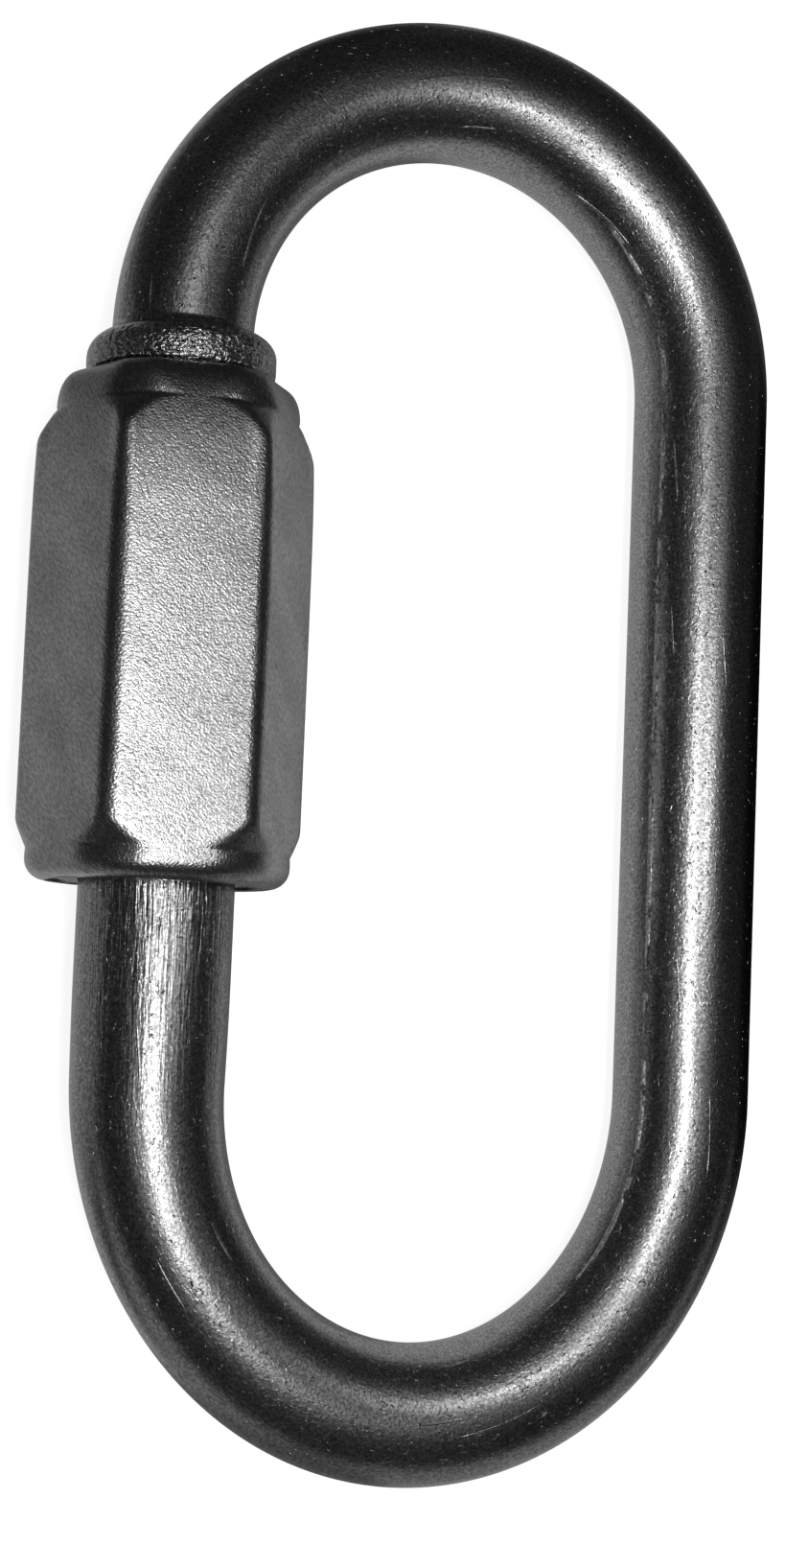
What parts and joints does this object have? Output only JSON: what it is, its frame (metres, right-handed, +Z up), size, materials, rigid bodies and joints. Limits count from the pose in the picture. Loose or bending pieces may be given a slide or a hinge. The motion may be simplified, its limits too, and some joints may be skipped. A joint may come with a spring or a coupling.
{
  "type": "chain quick link",
  "caption": "Long oval steel link bent from round rod, closed on one arm by a hexagonal sleeve nut that seats on a collar.",
  "frame": {"origin": "bottom centre of the bounding box, on the surface that the link lies on", "axes": "+Y along the arms towards the collar, +X from the nut towards the plain arm, +Z up from the surface"},
  "size_m": [0.0222, 0.0424, 0.0072],
  "materials": {
    "rod_steel": "satin-polished round rod with fine draw lines and light scratches",
    "nut_steel": "machined flats with a fine diagonal grain, polished corners and turned ends"
  },
  "bodies": {
    "link": {"link_body": "rod_steel"},
    "nut": {"hex_nut": "nut_steel"}
  },
  "joints": [
    {"name": "nut_slide", "type": "slide", "parent": "link", "child": "nut", "axis": [0, 1, 0], "range_m": [-0.009, 0]}
  ]
}
